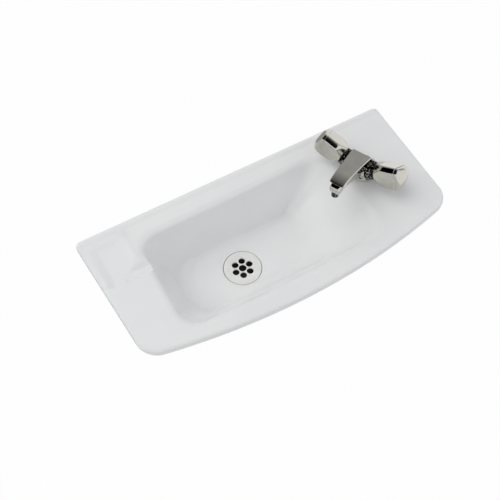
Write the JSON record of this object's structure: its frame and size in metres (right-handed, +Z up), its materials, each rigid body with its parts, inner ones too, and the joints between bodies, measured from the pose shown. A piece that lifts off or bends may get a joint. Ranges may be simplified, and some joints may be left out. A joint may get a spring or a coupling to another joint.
{
  "type": "wall-hung hand basin with mixer tap",
  "caption": "Compact wall-hung ceramic hand basin with a soap tray, a grid waste and a one-hole mixer tap with turning handles.",
  "frame": {"origin": "midway between the two wall fixing holes, on the wall face of the basin's panel", "axes": "+X along the wall towards the tap, +Y into the wall, +Z up; the front faces -Y"},
  "size_m": [0.4988, 0.2234, 0.2296],
  "materials": {
    "ceramic": "glossy white glaze",
    "chrome": "polished",
    "dark_chrome": "fluted, dark",
    "brass": "machined",
    "steel": "zinc plated",
    "black_rubber": "matt",
    "grey_rubber": "matt",
    "white_plastic": "moulded",
    "red_fibre": "pressed fibre",
    "white_alumina": "lapped"
  },
  "bodies": {
    "basin_body": {"basin": "ceramic", "waste_flange": "chrome", "waste_top_seal": "black_rubber", "waste_bottom_seal": "grey_rubber", "waste_slip_washer": "white_plastic", "waste_backnut": "brass", "tap_body": "chrome", "spout_nozzle": "chrome", "nozzle_screen": "white_plastic", "nozzle_washer": "black_rubber", "tap_base_gasket": "black_rubber", "fixing_stud": "brass", "clamp_rubber": "black_rubber", "clamp_plate": "steel", "stud_nut": "brass", "hot_headwork": "brass", "hot_sealing_ring": "red_fibre", "hot_seat_seal": "black_rubber", "hot_fixed_disc": "white_alumina", "hot_collar": "dark_chrome", "cold_headwork": "brass", "cold_sealing_ring": "red_fibre", "cold_seat_seal": "black_rubber", "cold_fixed_disc": "white_alumina", "cold_collar": "dark_chrome"},
    "hot_head": {"hot_moving_disc": "white_alumina", "hot_spindle": "brass", "hot_handle": "chrome", "hot_handle_screw": "steel", "hot_handle_cap": "chrome"},
    "cold_head": {"cold_moving_disc": "white_alumina", "cold_spindle": "brass", "cold_handle": "chrome", "cold_handle_screw": "steel", "cold_handle_cap": "chrome"}
  },
  "joints": [
    {"name": "hot_handle_turn", "type": "hinge", "parent": "basin_body", "child": "hot_head", "pos_m": [0.14702, -0.09658, 0.0785], "axis": [-0.4119, 0.8446, 0.342], "range_deg": [0, 90]},
    {"name": "cold_handle_turn", "type": "hinge", "parent": "basin_body", "child": "cold_head", "pos_m": [0.14702, -0.09658, 0.0785], "axis": [0.4119, -0.8446, 0.342], "range_deg": [-90, 0]}
  ]
}
